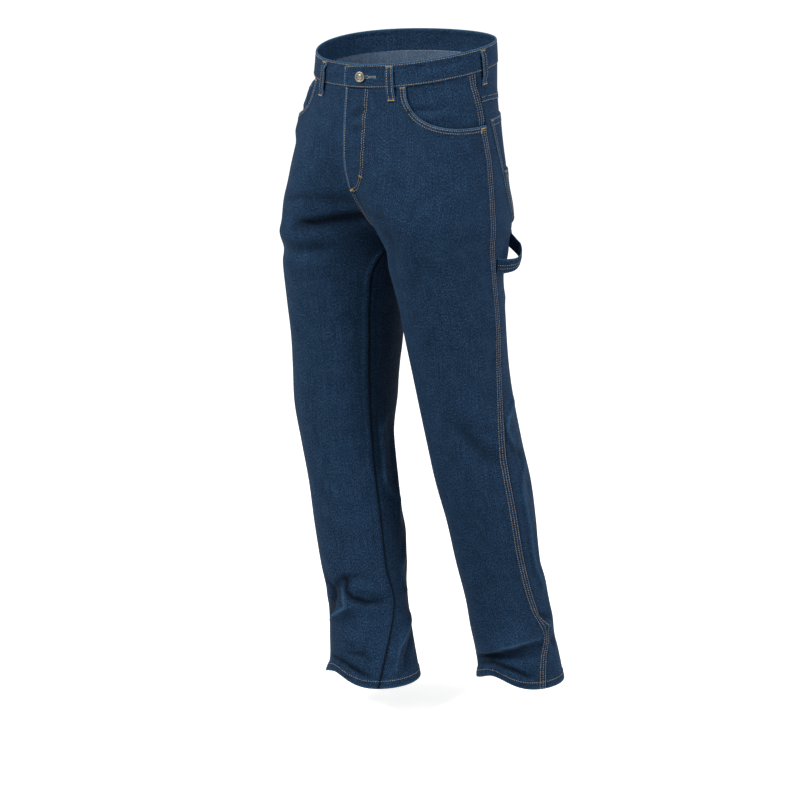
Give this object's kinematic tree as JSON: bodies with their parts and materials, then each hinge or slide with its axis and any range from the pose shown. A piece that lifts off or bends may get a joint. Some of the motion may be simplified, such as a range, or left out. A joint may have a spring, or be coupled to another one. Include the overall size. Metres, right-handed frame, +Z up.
{
  "type": "carpenter trousers",
  "caption": "Straight-leg indigo denim carpenter trousers in hollow worn form, with scoop pockets, patch back pockets, a tool pocket and a hammer loop.",
  "frame": {"origin": "middle of the waist opening, level with the lower part of the waistband, where the wearer holds the trousers up", "axes": "+Z up, -Y the way the front faces, +X the garment's own left leg"},
  "size_m": [0.4366, 0.3594, 1.1018],
  "materials": {
    "indigo_denim": "matte twill denim",
    "aged_metal": "antiqued satin metal"
  },
  "bodies": {
    "root": {"front_left": "indigo_denim", "front_right": "indigo_denim", "back_left": "indigo_denim", "back_right": "indigo_denim", "yoke_left": "indigo_denim", "yoke_right": "indigo_denim", "pocket_facing_left": "indigo_denim", "pocket_facing_right": "indigo_denim", "waistband": "indigo_denim", "belt_loop_front_left": "indigo_denim", "belt_loop_side_left": "indigo_denim", "belt_loop_back": "indigo_denim", "belt_loop_side_right": "indigo_denim", "belt_loop_front_right": "indigo_denim", "fly_facing": "indigo_denim", "back_pocket_left": "indigo_denim", "back_pocket_right": "indigo_denim", "tool_pocket": "indigo_denim", "watch_pocket": "indigo_denim", "hammer_loop": "indigo_denim", "button": "aged_metal"}
  },
  "joints": []
}
